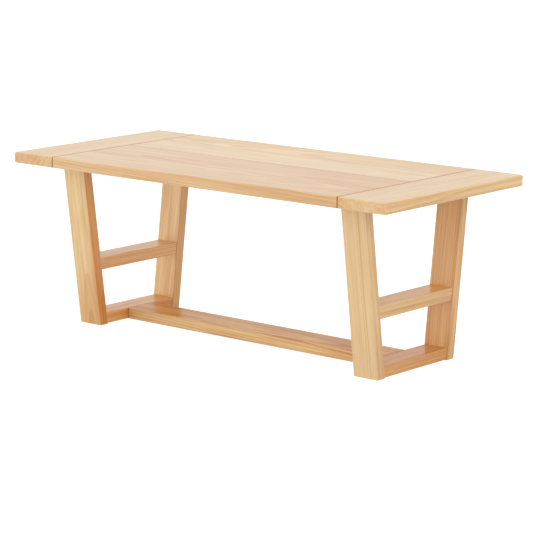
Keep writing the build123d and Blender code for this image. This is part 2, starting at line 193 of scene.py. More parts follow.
class Wire:
    """A value, colour or vector on its way through a finish. Sums on values add their Math nodes."""

    def __init__(self, finish, socket):
        self.finish = finish
        self.socket = socket

    def math(self, operation, *others, flip=False, **settings):
        terms = (*others, self) if flip else (self, *others)
        sockets = dict(enumerate(terms))
        return self.finish.add("Math", {"operation": operation, **settings}, sockets)["Value"]

    def __add__(self, other):
        return self.math("ADD", other)

    def __radd__(self, other):
        return self.math("ADD", other, flip=True)

    def __sub__(self, other):
        return self.math("SUBTRACT", other)

    def __rsub__(self, other):
        return self.math("SUBTRACT", other, flip=True)

    def __mul__(self, other):
        return self.math("MULTIPLY", other)

    def __rmul__(self, other):
        return self.math("MULTIPLY", other, flip=True)

    def __truediv__(self, other):
        return self.math("DIVIDE", other)

    def __rtruediv__(self, other):
        return self.math("DIVIDE", other, flip=True)

    def __pow__(self, other):
        return self.math("POWER", other)

    def __rpow__(self, other):
        return self.math("POWER", other, flip=True)

    def __abs__(self):
        return self.math("ABSOLUTE")

    def held(self):
        """The same value kept between 0 and 1."""
        return self.math("ADD", 0, use_clamp=True)

    def dot(self, axis):
        """How far this vector reaches along an axis."""
        return self.finish.add("VectorMath", {"operation": "DOT_PRODUCT"}, {0: self, 1: axis})["Value"]

    def less(self, other):
        """What is left of this vector when another is taken from it."""
        return self.finish.add("VectorMath", {"operation": "SUBTRACT"}, {0: self, 1: other})["Vector"]

    def step(self, low, high):
        """0 below low, 1 above high, and a soft rise between."""
        sockets = {"Value": self, "From Min": low, "From Max": high}
        return self.finish.add("MapRange", {"interpolation_type": "SMOOTHSTEP"}, sockets)["Result"]


class Nodes:
    """The nodes of one material or one sky."""

    def __init__(self, owner):
        owner.use_nodes = True
        self.tree = owner.node_tree
        self.tree.nodes.clear()

    def feed(self, socket, value):
        if isinstance(value, Wire):
            self.tree.links.new(value.socket, socket)
        elif socket.type == "RGBA" and len(value) == 3:
            socket.default_value = (*value, 1)
        else:
            socket.default_value = value

    def add(self, kind, settings=None, sockets=None):
        """Adds a node of this type, sets it up, fills its sockets and gives its outputs as Wires."""
        node = self.tree.nodes.new("ShaderNode" + kind)
        for key, value in (settings or {}).items():
            if key == "stops":
                self.set_stops(node.color_ramp.elements, value)
            else:
                setattr(node, key, value)
        for key, value in (sockets or {}).items():
            self.feed(node.inputs[key], value)
        return {socket.name: Wire(self, socket) for socket in node.outputs if socket.enabled}

    def set_stops(self, ramp, stops):
        while len(ramp) < len(stops):
            ramp.new(0.5)
        for element, (place, colour) in zip(ramp, stops):
            element.position = place
            element.color = (*colour, 1)

    def vector(self, x, y, z):
        return self.add("CombineXYZ", {}, {"X": x, "Y": y, "Z": z})["Vector"]

    def cloud(self, vector, detail=2.0, rough=0.5, scale=1.0):
        """Smooth noise about 0.5, with its grain set by how the vector was stretched."""
        sockets = {"Vector": vector, "Scale": scale, "Detail": detail, "Roughness": rough}
        return self.add("TexNoise", {"noise_dimensions": "3D"}, sockets)["Fac"]

    def mix(self, factor, first, second, blend="MIX"):
        """Mixes two colours."""
        settings = {"data_type": "RGBA", "blend_type": blend, "clamp_factor": True}
        return self.add("Mix", settings, {"Factor": factor, 6: first, 7: second})["Result"]

    def bump(self, height, distance):
        return self.add("Bump", {}, {"Height": height, "Distance": distance, "Strength": 1.0})["Normal"]


class Finish(Nodes):
    """One material, with a Principled shader that its nodes feed."""

    def __init__(self, name):
        self.material = bpy.data.materials.new(name)
        super().__init__(self.material)
        self.shader = self.tree.nodes.new("ShaderNodeBsdfPrincipled")
        output = self.tree.nodes.new("ShaderNodeOutputMaterial")
        self.tree.links.new(self.shader.outputs["BSDF"], output.inputs["Surface"])

    def set(self, **values):
        """Fills the shader's own sockets: base_color fills Base Color, and so on."""
        for key, value in values.items():
            words = key.replace("_", " ").title().replace("Ior", "IOR")
            self.feed(self.shader.inputs[words], value)


def dress(node, finish):
    """Gives a CAD node this finish in its first material slot."""
    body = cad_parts[node]
    body.material_slots[0].link = "OBJECT"
    body.material_slots[0].material = finish.material


# ---------------------------------------------------------------- timber

# along: the way the fibres run. face: out of the show face. heart: the log's centre from the plank's
# own, across it and through it towards the show face, in metres. drift: how far the heart sinks from
# the show face in each metre of plank. tint: the plank's own tone, which on the stretcher and the right
# middle rail also carries painted shade. figure, streaks and sheen scale what every plank shares.
# worn: how far its eased edges are painted pale, partly as sanded wear and partly as a
# painted highlight, or darker when below 0.
# bands: parts of the plank with another tone, as (direction, start, full, what the tone is multiplied
# by); the ones that paint light or shade say so where they stand. Along is in metres from the plank's
# middle, and side is the same, but only on the two faces that look across. Edge, far_edge, start, end
# and back are metres in from that side of the plank.
Cut = namedtuple(
    "Cut",
    "along face heart drift tint figure streaks sheen worn bands",
    defaults=(1, 1, 1, 1, ()),
)

X, Y, Z = Vector((1, 0, 0)), Vector((0, 1, 0)), Vector((0, 0, 1))
BREADBOARD_GAP = 0.002
BREADBOARD_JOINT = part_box("breadboard_right")[0].x - BREADBOARD_GAP / 2
SEAM = (0.54, 0.27, 0.04)       # the tone of the open grain beside a glue line
LEG_FOOT = 0.02                 # the lowest part of a leg, whose corners give the middle of its foot

SEED_SPACING = 17.3             # how far apart two planks are in the noise
LOG_WANDER = 0.05               # how far a log's heart strays slowly, and then quickly, in metres
LOG_RIPPLE = 0.01
RING_WANDER = 3.0               # how far a ring's width strays, in rings
RING_WAVES = 22.0               # how often a ring's width strays, per metre out from the heart
RING_TONE = 0.25                # the least darkness of a ring's close, and about the wood's mean

MIDDLE_TONE = 0.46              # 0 is the pale wood, 1 is the late wood
BROAD_TONE = 2.0                # how much each part of the figure adds to the tone or takes away
NARROW_TONE = 2.1
FIBRE_TONE = 0.2
PORE_TONE = 0.14
END_TONE = 0.06
EASED_TONE = 0.4
ROSY = (1.0, 0.95, 0.9)         # the tone of the rosier parts, and how far it is taken up
ROSY_SHARE = 0.3

FIBRE_ROUGHNESS = 0.12
PORE_ROUGHNESS = 0.12
END_ROUGHNESS = 0.16
FIBRE_RELIEF = 0.55             # shares of the relief that the timber settings give
PORE_RELIEF = 1.2
RING_RELIEF = 0.35
SHEEN = 0.5                     # the specular level of a plank whose sheen is 1
JOINT_SHADE = 1.1               # where the joint's shade begins to fade, in widths of the gap
JOINT_REACH = 1.7               # where it ends at an edge, and how much further it ends on the top
JOINT_REACH_ON_TOP = 1.8

TOP_CUTS = {
    "top_board_1": Cut(
        along=X, face=Z, heart=(-0.05, -0.21), drift=0.03, tint=(0.955, 1.005, 1.01),
        figure=0.8, streaks=0.8, bands=(
            ("far_edge", 0.006, 0.0005, SEAM),
            # painted highlight on the front arris, and painted light on the front face
            ("edge", 0.005, 0.0005, (1.08, 1.02, 1.0)),
            ("along", 0.0, 0.5, (0.965, 0.94, 0.9)),
            ("along", -0.15, -0.6, (1.0, 1.03, 1.06)),
        ),
    ),
    "top_board_2": Cut(
        along=X, face=Z, heart=(0.06, -0.17), drift=-0.02, tint=(0.935, 0.935, 0.875),
        figure=0.8, streaks=0.75, bands=(
            ("far_edge", 0.011, 0.001, SEAM),
            ("along", 0.1, 0.7, (0.97, 0.93, 0.87)),
            ("along", -0.15, -0.6, (1.0, 1.03, 1.05)),
        ),
    ),
    "top_board_3": Cut(
        along=X, face=Z, heart=(-0.02, -0.24), drift=0.02, tint=(1.005, 1.13, 1.18),
        figure=0.7, streaks=0.55, bands=(
            ("far_edge", 0.006, 0.0005, SEAM),
            ("along", -0.15, -0.6, (0.99, 1.01, 1.04)),
        ),
    ),
    "top_board_4": Cut(
        along=X, face=Z, heart=(0.04, -0.19), drift=-0.04, tint=(1.01, 1.05, 0.975),
        figure=0.8, streaks=0.75, bands=(
            ("along", 0.0, 0.6, (0.95, 0.92, 0.89)),
            ("along", -0.15, -0.6, (1.0, 1.035, 1.07)),
        ),
    ),
    "breadboard_left": Cut(
        along=Y, face=Z, heart=(0.16, -0.09), drift=0.01, tint=(0.965, 1.045, 1.06),
        figure=0.8, streaks=0.7, bands=(
            # painted highlight on the front arris, and painted light on the front end face
            ("start", 0.006, 0.0005, (1.075, 1.0, 0.99)),
            ("along", 0.0, 0.4, (1.0, 1.035, 1.07)),
        ),
    ),
    "breadboard_right": Cut(
        along=Y, face=Z, heart=(-0.15, -0.12), drift=-0.02, tint=(0.975, 1.075, 1.145),
        figure=0.7, streaks=0.8, bands=(
            # painted highlight on the front arris and painted light on the front end face; the next band
            # paints the same on the right end face and its arris
            ("start", 0.006, 0.0005, (1.08, 1.02, 1.0)),
            ("edge", 0.005, 0.0005, (1.11, 1.06, 1.0)),
            ("side", -0.1, -0.3, (0.97, 0.93, 0.87)),
        ),
    ),
}


def leg_axis(node):
    """The direction of a leg, from the middle of its foot to the middle of its head."""
    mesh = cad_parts[node].data
    low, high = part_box(node)
    foot = [v.co.y for v in mesh.vertices if v.co.z < low.z + LEG_FOOT]
    head = [v.co.y for v in mesh.vertices if v.co.z > high.z - MILLIMETRE]
    lean = (min(head) + max(head) - min(foot) - max(foot)) / 2
    return Vector((0, lean, high.z - low.z - LEG_FOOT / 2)).normalized()


LEG_CUTS = {
    "leg_left_front": Cut(
        along=leg_axis("leg_left_front"), face=-Y, heart=(0.012, -0.06), drift=0.06,
        tint=(1.11, 1.2, 1.17), figure=0.6, streaks=1.1, bands=(
            # painted shade: these two bands darken the inner side face, and the front face towards it
            ("edge", 0.06, 0.01, (0.96, 0.9, 0.85)),
            ("edge", 0.006, 0.0005, (1.09, 0.79, 0.476)),
            ("along", -0.02, -0.3, (0.92, 0.8, 0.66)),
        ),
    ),
    "leg_left_back": Cut(
        along=leg_axis("leg_left_back"), face=-Y, heart=(0.09, -0.08), drift=0.02,
        tint=(1.035, 1.1, 1.01), figure=0.7, worn=-1, bands=(
            ("edge", 0.016, 0.006, (0.93, 0.86, 0.77)),
            ("edge", 0.0032, 0.0008, (1.061, 0.938, 0.942)),
        ),
    ),
    "leg_right_front": Cut(
        along=leg_axis("leg_right_front"), face=-Y, heart=(0.14, -0.03), drift=0.01,
        tint=(1.09, 1.2, 1.25), figure=0.7, streaks=0.6, bands=(
            ("edge", 0.005, 0.0005, (0.98, 0.93, 0.93)),
            ("side", -0.05, -0.3, (0.93, 0.915, 0.875)),
            ("side", 0.1, 0.3, (1.055, 1.09, 1.085)),
            ("along", -0.05, -0.3, (0.955, 0.93, 0.93)),
            ("along", 0.1, 0.3, (1.05, 1.06, 1.1)),
        ),
    ),
    "leg_right_back": Cut(
        along=leg_axis("leg_right_back"), face=-Y, heart=(-0.12, -0.06), drift=-0.01,
        tint=(1.015, 0.965, 0.745), figure=0.8, worn=-2, bands=(
            ("edge", 0.016, 0.006, (0.92, 0.82, 0.7)),
            ("edge", 0.0032, 0.0008, (1.09, 1.2, 1.63)),
            ("side", -0.05, -0.3, (0.91, 0.88, 0.82)),
            ("side", 0.1, 0.3, (1.0, 1.04, 1.04)),
            ("along", -0.05, -0.3, (0.965, 0.94, 0.93)),
            ("along", 0.1, 0.3, (1.05, 1.05, 1.03)),
        ),
    ),
}

RAIL_CUTS = {
    "mid_rail_left": Cut(
        along=Y, face=Z, heart=(0.05, -0.08), drift=0.02, tint=(1.1, 1.08, 0.92), streaks=1.3,
        bands=(("edge", 0.004, 0.0005, (1.085, 1.0, 1.03)),),
    ),
    "mid_rail_right": Cut(
        # The orange tint is partly the rail's tone and partly painted shade on every face but the outer
        # side, which the first band lifts it off.
        along=Y, face=Z, heart=(-0.06, -0.07), drift=0.02, tint=(0.98, 0.82, 0.5), sheen=0.75, bands=(
            ("edge", 0.004, 0.0005, (1.1, 1.34, 2.32)),
            ("side", 0.0, -0.15, (1.01, 1.09, 1.14)),
            ("side", 0.0, 0.15, (0.96, 0.94, 0.93)),
            # painted light on the top towards the back leg; the next band takes it off the side faces and
            # leaves them a little darker there, as painted shade
            ("along", 0.12, 0.18, (1.08, 1.15, 1.4)),
            ("side", 0.12, 0.18, (0.9, 0.84, 0.68)),
        ),
    ),
    "foot_rail_left": Cut(
        along=Y, face=Z, heart=(0.07, -0.06), drift=-0.03, tint=(1.07, 0.985, 0.76),
        streaks=1.2, worn=0, bands=(
            ("edge", 0.004, 0.0005, (1.135, 0.97, 0.82)),
            # painted shade on the side faces towards the back, beyond the stretcher
            ("side", 0.06, 0.1, (0.78, 0.64, 0.48)),
        ),
    ),
    "foot_rail_right": Cut(
        along=Y, face=Z, heart=(-0.05, -0.09), drift=0.03, tint=(0.925, 0.735, 0.49),
        streaks=1.2, sheen=0.6, worn=0, bands=(("edge", 0.004, 0.0005, (0.96, 0.94, 0.99)),),
    ),
    "bearer_left": Cut(along=Y, face=-Z, heart=(0.04, -0.1), drift=0.01, tint=(1.0, 0.97, 0.93)),
    "bearer_right": Cut(along=Y, face=-Z, heart=(-0.04, -0.1), drift=0.01, tint=(1.0, 0.97, 0.93)),
}

STRETCHER_CUTS = {
    "stretcher": Cut(
        # The orange tint is partly the stretcher's tone and partly painted shade, with the warm reflection
        # of the table top's underside, on every face but the front.
        along=X, face=Z, heart=(0.03, -0.05), drift=0.035, tint=(1.02, 0.855, 0.52),
        figure=2.0, streaks=1.4, sheen=0.35, bands=(
            ("along", -0.25, -0.62, (0.97, 0.865, 0.81)),
            ("along", 0.25, 0.5, (0.945, 0.88, 0.84)),
            ("end", 0.0065, 0.003, (0.85, 0.65, 0.4)),
            ("start", 0.0065, 0.003, (0.64, 0.35, 0.12)),
            # painted light: this band lifts the tint's painted shade off the front face
            ("edge", 0.005, 0.0005, (0.99, 1.2, 1.88)),
            # painted shadow along the bottom of the stretcher and on its underside
            ("back", 0.009, 0.0015, (0.86, 0.74, 0.62)),
        ),
    ),
}

# Each side of a plank that a band can be measured from: its way, and which end of that way it is.
PLANK_SIDES = {
    "end": ("along", 1),
    "start": ("along", -1),
    "edge": ("across", 1),
    "far_edge": ("across", -1),
    "back": ("through", -1),
}

PLAIN_CUT = Cut(along=X, face=Z, heart=(0, -0.4), drift=0, tint=(1.02, 1.0, 0.98), figure=0.4, streaks=0.4)
DOWEL_CUTS = {
    "board_edge_dowels": PLAIN_CUT._replace(along=Y),
    "breadboard_pegs": PLAIN_CUT._replace(along=Z, face=X),
    "stretcher_dowels": PLAIN_CUT,
}


class Plank(Finish):
    """The finish of one timber. Its ways, facings and halves are named along, across and through."""

    def __init__(self, node, cut, seed):
        super().__init__(f"timber_{node}")
        self.shift = SEED_SPACING * seed
        coordinates = self.add("TexCoord")
        self.place = coordinates["Object"]
        low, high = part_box(node)
        from_middle = self.place.less((low + high) / 2)
        across = cut.along.cross(cut.face).normalized()
        through = across.cross(cut.along).normalized()
        self.ways = {}
        self.facings = {}
        self.halves = {}
        for name, axis in (("along", cut.along), ("across", across), ("through", through)):
            self.ways[name] = from_middle.dot(axis)
            self.facings[name] = abs(coordinates["Normal"].dot(axis))
            self.halves[name] = sum(abs(part) * size for part, size in zip(axis, high - low)) / 2

    def strands(self, lengthwise, crosswise, detail, rough=0.5, shifted="along"):
        """Smooth noise drawn out along the fibres, from its waves per metre along and across them."""
        waves = {"along": lengthwise, "across": crosswise, "through": crosswise}
        spread = {name: way * waves[name] for name, way in self.ways.items()}
        for name in shifted.split():
            spread[name] = spread[name] + self.shift
        return self.cloud(self.vector(*spread.values()), detail, rough)

    def band_place(self, direction):
        """Where a point lies on the plank, measured as a band's direction says."""
        if direction in self.ways:
            return self.ways[direction]
        if direction == "side":
            return self.ways["along"] * self.facings["across"].step(0.75, 0.95)
        way, inward = PLANK_SIDES[direction]
        return self.halves[way] - self.ways[way] * inward


def growth_rings(wood, cut):
    """How near a point is to its ring's dark close, and how dark the wood is there."""
    look = bpy.context.scene.table_timber
    # The log is never quite straight, so its heart wanders slowly as the plank runs on.
    wander = wood.strands(lengthwise=1.1, crosswise=3.0, detail=1.0)
    ripple = wood.strands(lengthwise=3.4, crosswise=9.0, detail=2.0, shifted="across")
    side = wood.ways["across"] - cut.heart[0] + (wander - 0.5) * LOG_WANDER
    sinking = wood.ways["along"] * cut.drift
    depth = wood.ways["through"] - cut.heart[1] + sinking + (ripple - 0.5) * LOG_RIPPLE
    radius = (side * side + depth * depth) ** 0.5
    uneven = wood.cloud(wood.vector(radius * RING_WAVES, wood.shift, 0.0), detail=1.0)
    rings = radius / look.ring + (uneven - 0.5) * RING_WANDER
    turn = rings.math("FRACT")
    number = rings.math("FLOOR")
    luck = wood.add("TexWhiteNoise", {"noise_dimensions": "1D"}, {"W": number + wood.shift})["Value"]
    closing = turn.step(0.15, 0.85) * (1 - turn.step(0.86, 1.0))
    return closing, closing * (RING_TONE + (1 - RING_TONE) * luck)


def timber_finish(node, cut, seed):
    """Light hardwood: growth rings round the heart, long streaks, fibres, pores and end grain."""
    look = bpy.context.scene.table_timber
    wood = Plank(node, cut, seed)
    closing, late = growth_rings(wood, cut)

    # Long streaks, in three widths, lie along the fibres.
    broad = wood.strands(lengthwise=1.3, crosswise=14.0, detail=2.0, rough=0.55, shifted="across")
    narrow = wood.strands(lengthwise=2.2, crosswise=75.0, detail=3.0, rough=0.6)
    fibre = wood.strands(lengthwise=14.0, crosswise=520.0, detail=2.0, rough=0.6, shifted="through")
    specks = wood.strands(lengthwise=75.0, crosswise=1300.0, detail=1.0)
    pores = specks.step(0.66, 0.76) * (0.35 + 0.65 * closing)

    # The ends drink more oil. The eased edges are painted paler, partly as sanded wear and partly as a
    # painted highlight, or darker where a plank's setting is below 0.
    end = wood.facings["along"].step(0.75, 0.95)
    flat = wood.facings["across"].math("MAXIMUM", wood.facings["through"])
    eased = 1 - wood.facings["along"].math("MAXIMUM", flat).step(0.76, 0.96)

    tone = (
        MIDDLE_TONE
        + (late - RING_TONE) * (look.figure * cut.figure)
        - (broad - 0.5) * (look.streaks * cut.streaks * BROAD_TONE)
        - (narrow - 0.5) * (look.streaks * cut.streaks * NARROW_TONE)
        - (fibre - 0.5) * FIBRE_TONE
        + pores * PORE_TONE
        + end * END_TONE
        - eased * (cut.worn * EASED_TONE)
    )
    stops = [(0.0, look.pale), (0.45, look.honey), (1.0, look.late)]
    colour = wood.add("ValToRGB", {"stops": stops}, {"Fac": tone.held()})["Color"]
    colour = wood.mix(1.0, colour, cut.tint, "MULTIPLY")
    rosy = wood.strands(lengthwise=0.9, crosswise=5.0, detail=1.0, shifted="along through")
    colour = wood.mix(rosy.step(0.35, 0.7) * ROSY_SHARE, colour, ROSY, "MULTIPLY")
    for direction, start, stop, other_tone in cut.bands:
        colour = wood.mix(wood.band_place(direction).step(start, stop), colour, other_tone, "MULTIPLY")
    if node in TOP_CUTS:
        # The painted shadow of the open joint reaches further from it on the top than down its front and
        # back edges.
        from_joint = abs(abs(wood.place.dot(X)) - BREADBOARD_JOINT)
        reach = (wood.facings["through"] * JOINT_REACH_ON_TOP + JOINT_REACH) * BREADBOARD_GAP
        shade = 1 - from_joint.step(BREADBOARD_GAP * JOINT_SHADE, reach)
        colour = wood.mix(shade, colour, look.joint)

    roughness = look.roughness + (fibre - 0.5) * FIBRE_ROUGHNESS + pores * PORE_ROUGHNESS
    relief = fibre * FIBRE_RELIEF - pores * PORE_RELIEF + late * RING_RELIEF
    wood.set(
        base_color=colour,
        roughness=roughness + end * END_ROUGHNESS,
        specular_ior_level=SHEEN * cut.sheen,
        normal=wood.bump(relief, look.relief),
    )
    return wood


def dress_timbers(cuts, first_seed):
    for seed, (node, cut) in enumerate(cuts.items(), start=first_seed):
        dress(node, timber_finish(node, cut, seed))


# ---------------------------------------------------------------- steel and nylon


THIN_PLATING = linear(176, 180, 188)
THICK_PLATING = linear(214, 210, 198)
SCUFFED_NYLON = linear(142, 122, 102)


def zinc_finish(name):
    """Zinc-plated steel, faintly mottled where the plating took unevenly, with fine tool lines."""
    look = bpy.context.scene.table_fittings
    zinc = Finish(name)
    place = zinc.add("TexCoord")["Object"]
    mottle = zinc.cloud(place, detail=3.0, rough=0.6, scale=260.0)
    drawn_out = zinc.vector(place.dot(X) * 300.0, place.dot(Y) * 4000.0, place.dot(Z) * 4000.0)
    lines = zinc.cloud(drawn_out, detail=1.0)
    stops = [(0.3, THIN_PLATING), (0.55, look.zinc), (0.8, THICK_PLATING)]
    colour = zinc.add("ValToRGB", {"stops": stops}, {"Fac": mottle})["Color"]
    zinc.set(
        base_color=colour,
        metallic=1.0,
        roughness=look.zinc_roughness + (mottle - 0.5) * 0.3 + (lines - 0.5) * 0.15,
        normal=zinc.bump(lines * 0.5 + mottle, distance=0.00002),
    )
    return zinc


def nylon_finish():
    """Moulded nylon with a fine sparked texture and scuffs on the face that slides."""
    look = bpy.context.scene.table_fittings
    nylon = Finish("glide_nylon")
    coordinates = nylon.add("TexCoord")
    place = coordinates["Object"]
    grain = nylon.cloud(place, scale=2600.0)
    drawn_out = nylon.vector(place.dot(X) * 60.0, place.dot(Y) * 900.0, 0.0)
    underneath = (0 - coordinates["Normal"].dot(Z)).step(0.6, 0.95)
    scuffs = nylon.cloud(drawn_out, detail=3.0, rough=0.6).step(0.56, 0.7) * underneath
    colour = nylon.mix(scuffs * 0.5, look.nylon, SCUFFED_NYLON)
    nylon.set(
        base_color=colour,
        roughness=0.42 + grain * 0.12 + scuffs * 0.25,
        normal=nylon.bump(grain - scuffs * 1.5, distance=0.00003),
    )
    return nylon


# ---------------------------------------------------------------- fittings in mesh code

STEPS = 48                      # points round every turned or six-sided shape
TURNS = [2 * pi * step / STEPS for step in range(STEPS)]
CORNER_STEPS = 6                # parts in a small rounded corner
SHARP_ANGLE = 32                # degrees between two faces, above which their edge stays sharp

HEX_TURNED = 0.475              # radius where a turned chamfer starts, as a share of the flats
HEX_CHAMFER = 0.577             # how steeply it falls, which is 30 degrees
BOLT_FLATS = 0.013
BOLT_HEAD = 0.0055
BOLT_RADIUS = 0.004
BOLT_THREAD = 0.022
BOLT_TIP = 0.0008
BOLT_DISH = 0.00286             # the shallow dish in a bolt's head
BOLT_DISH_LIP = 0.00338
BOLT_DISH_DEPTH = 0.0002
BOLT_FACE = 0.0004              # the thin washer face under the head
BOLT_FACE_RADIUS = 0.00611
BOLT_FACE_RIM = 0.00598
BOLT_CREST = 0.1
THREAD_DEPTH = 0.00065
THREAD_RINGS = 8                # in one turn of a thread
THREAD_RUNOUT = 12              # rings over which a thread starts
NUT_MOUTH = 0.0005              # countersink at each end of a nut's bore
NUT_PLAY = 0.00005

PLATE_ROUND = 0.003
PLATE_SLOT = 0.0042
PLATE_STEPS = 8
PLATE_EDGE = 0.0003

SCREW_HEAD_RADIUS = 0.00475
SCREW_HEAD = 0.0035
SCREW_HEAD_ROUND = 0.001
SCREW_HEAD_EDGE = 0.0003
SCREW_RADIUS = 0.0025
SCREW_CORE = 0.0017
SCREW_PLAIN = 0.010
SCREW_CREST = 0.06
SCREW_POINT = 0.005
SCREW_POINT_RINGS = ((SCREW_CORE, 0.0048), (0.000935, 0.0018), (0.0001, 0))     # radius, height
SCREW_SOCKET_FLATS = 0.004
SCREW_SOCKET_LIP = 0.00248
SCREW_SOCKET_DEPTH = 0.002
SCREW_SOCKET_EDGE = 0.0002
WASHER_BORE = 0.0027
WASHER_EDGE = 0.0002

GLIDE_PIN_RADIUS = 0.0015
GLIDE_PIN = 0.006
GLIDE_PIN_TIP = 0.0008
GLIDE_PIN_TIP_RADIUS = 0.0006
GLIDE_PIN_FOOT = 0.0004
GLIDE_ROUND = 0.001
GLIDE_EDGE = 0.0003
GATE_MARK = 0.0022              # the dimple that moulding leaves in the sliding face
GATE_MARK_MIDDLE = 0.0012
GATE_MARK_LIP = 0.0026
GATE_MARK_DEPTH = 0.0003


def separate_boxes(node):
    """Lowest and highest corner of each separate solid in a CAD node, from left to right."""
    shape = bmesh.new()
    shape.from_mesh(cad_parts[node].data)
    bmesh.ops.remove_doubles(shape, verts=shape.verts, dist=MILLIMETRE / 100)
    waiting = set(shape.verts)
    boxes = []
    while waiting:
        front = [waiting.pop()]
        solid = []
        while front:
            vertex = front.pop()
            solid.append(vertex.co.copy())
            for edge in vertex.link_edges:
                other = edge.other_vert(vertex)
                if other in waiting:
                    waiting.remove(other)
                    front.append(other)
        low = Vector(min(point[axis] for point in solid) for axis in range(3))
        high = Vector(max(point[axis] for point in solid) for axis in range(3))
        boxes.append((low, high))
    shape.free()
    return sorted(boxes, key=lambda box: tuple(round(value, 5) for value in (*box[0], *box[1])))


def arc(centre, radius, first, last, parts):
    """Points round part of a circle, between two angles in degrees."""
    turns = [radians(first + (last - first) * part / parts) for part in range(parts + 1)]
    return [(centre[0] + radius * cos(turn), centre[1] + radius * sin(turn)) for turn in turns]


def ring(radius, height):
    """A round ring: its radius and its height at each step round the axis."""
    return [(radius, height)] * STEPS


def rounded(centre, corner, first, last):
    """Rings round a corner, whose circle has its middle at this radius and height."""
    return [ring(*point) for point in arc(centre, corner, first, last, CORNER_STEPS)]


def hexagon(flats, height, lean=0.0):
    """A six-sided ring. With a lean its corners fall away along the axis, as after turning."""
    reaches = [flats / 2 / cos(turn % (pi / 3) - pi / 6) for turn in TURNS]
    return [(reach, height - lean * (reach - HEX_TURNED * flats)) for reach in reaches]


def thread(start, stop, radius, core, pitch, crest):
    """Rings of a cut thread. The crest is the share of each turn that stays at the full radius."""
    count = round(abs(stop - start) / pitch * THREAD_RINGS)
    rings = []
    for number in range(count + 1):
        height = start + (stop - start) * number / count
        runout = min(1, number / THREAD_RUNOUT)
        row = []
        for step in range(STEPS):
            turn = (height / pitch - step / STEPS) % 1
            valley = min(1, max(0, 1 - abs(2 * turn - 1) - crest) / (1 - 2 * crest))
            row.append((radius - (radius - core) * valley * runout, height))
        rings.append(row)
    return rings


def skin(builder, rings, place, hollow=False):
    """Joins rings into a solid with flat ends, or into a closed loop round a bore."""
    rows = []
    for row in rings:
        points = [
            Vector((radius * cos(turn), radius * sin(turn), height))
            for turn, (radius, height) in zip(TURNS, row)
        ]
        rows.append([builder.verts.new(place @ point) for point in points])
    pairs = list(zip(rows, rows[1:]))
    if hollow:
        pairs.append((rows[-1], rows[0]))
    for first, second in pairs:
        for step in range(STEPS):
            after = (step + 1) % STEPS
            builder.faces.new((first[step], first[after], second[after], second[step]))
    if not hollow:
        builder.faces.new(list(reversed(rows[0])))
        builder.faces.new(rows[-1])


def upright(point, axis):
    """Puts a shape's own Z along this axis, with its origin at the point."""
    return Matrix.Translation(point) @ axis.to_track_quat("Z", "Y").to_matrix().to_4x4()


def build_piece(node, name, finish, shape_one):
    """Builds one shape in place of each solid of a CAD node, as one piece that stands for the node."""
    builder = bmesh.new()
    for low, high in separate_boxes(node):
        shape_one(builder, low, high)
    bmesh.ops.recalc_face_normals(builder, faces=builder.faces)
    mesh = bpy.data.meshes.new(name)
    builder.to_mesh(mesh)
    builder.free()
    mesh.shade_smooth()
    mesh.set_sharp_from_angle(angle=radians(SHARP_ANGLE))
    mesh.materials.append(finish.material)
    piece = bpy.data.objects.new(name, mesh)
    bpy.context.scene.collection.objects.link(piece)
    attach(piece, "root")
    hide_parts(node)


def outward(low, high):
    """Away from the middle of the table along X, for the fitting in this box."""
    return X if low.x + high.x > 0 else -X


def shape_bolt(builder, low, high):
    """Hexagon head with a turned chamfer, plain shank, cut thread and a chamfered end."""
    pitch = bpy.context.scene.table_fittings.thread_pitch
    axis = outward(low, high)
    centre = (low + high) / 2
    length = high.x - low.x - BOLT_HEAD
    seat = centre + axis * (high.x - low.x) / 2 - axis * BOLT_HEAD
    core = BOLT_RADIUS - THREAD_DEPTH
    rings = [
        ring(BOLT_DISH, BOLT_HEAD - BOLT_DISH_DEPTH),
        ring(BOLT_DISH_LIP, BOLT_HEAD),
        ring(BOLT_FLATS * HEX_TURNED, BOLT_HEAD),
        hexagon(BOLT_FLATS, BOLT_HEAD, HEX_CHAMFER),
        hexagon(BOLT_FLATS, BOLT_FACE),
        ring(BOLT_FACE_RADIUS, BOLT_FACE),
        ring(BOLT_FACE_RIM, 0),
        ring(BOLT_RADIUS, 0),
        *thread(BOLT_THREAD - length, BOLT_TIP - length, BOLT_RADIUS, core, pitch, BOLT_CREST),
        ring(core, BOLT_TIP - length),
        ring(core - BOLT_TIP, -length),
    ]
    skin(builder, rings, upright(seat, axis))


def shape_nut(builder, low, high):
    """Hexagon nut, chamfered on both faces and countersunk at both ends of its bore."""
    axis = outward(low, high)
    half = (high.x - low.x) / 2
    bore = BOLT_RADIUS + NUT_PLAY
    top = [
        ring(BOLT_RADIUS + NUT_MOUTH, half),
        ring(BOLT_FLATS * HEX_TURNED, half),
        hexagon(BOLT_FLATS, half, HEX_CHAMFER),
    ]
    bottom = [[(radius, -height) for radius, height in row] for row in reversed(top)]
    rings = [*top, *bottom, ring(bore, NUT_MOUTH - half), ring(bore, half - NUT_MOUTH)]
    skin(builder, rings, upright((low + high) / 2, axis), hollow=True)


